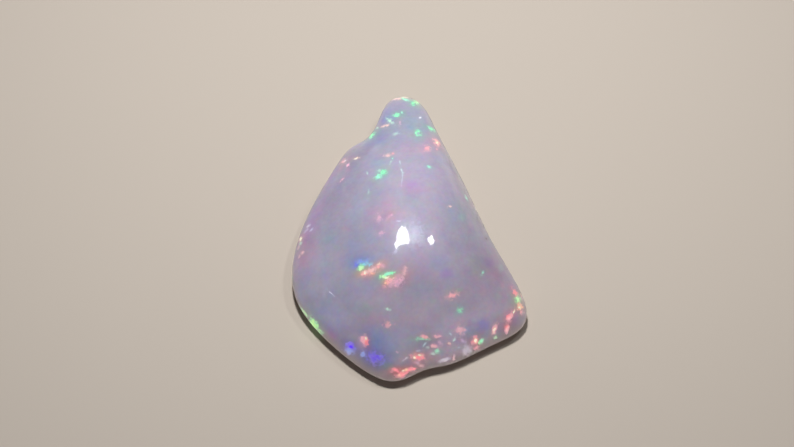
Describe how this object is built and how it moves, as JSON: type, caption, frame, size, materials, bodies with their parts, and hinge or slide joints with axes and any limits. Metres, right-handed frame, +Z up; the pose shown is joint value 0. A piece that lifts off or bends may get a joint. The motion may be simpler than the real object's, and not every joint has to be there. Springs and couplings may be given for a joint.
{
  "type": "opal specimen",
  "caption": "Freeform piece of precious opal, milky and glossy, a low dome with a blunt tip and a flat underside to rest on.",
  "frame": {"origin": "middle of the stone's plan outline, on the plane it rests on", "axes": "+Y towards the blunt tip, +Z up out of the dome, +X towards the long straight edge"},
  "size_m": [0.0232, 0.0314, 0.0077],
  "materials": {
    "opal": "glossy, milky lavender grey with small spectral flashes"
  },
  "bodies": {
    "root": {"opal_stone": "opal"}
  },
  "joints": []
}
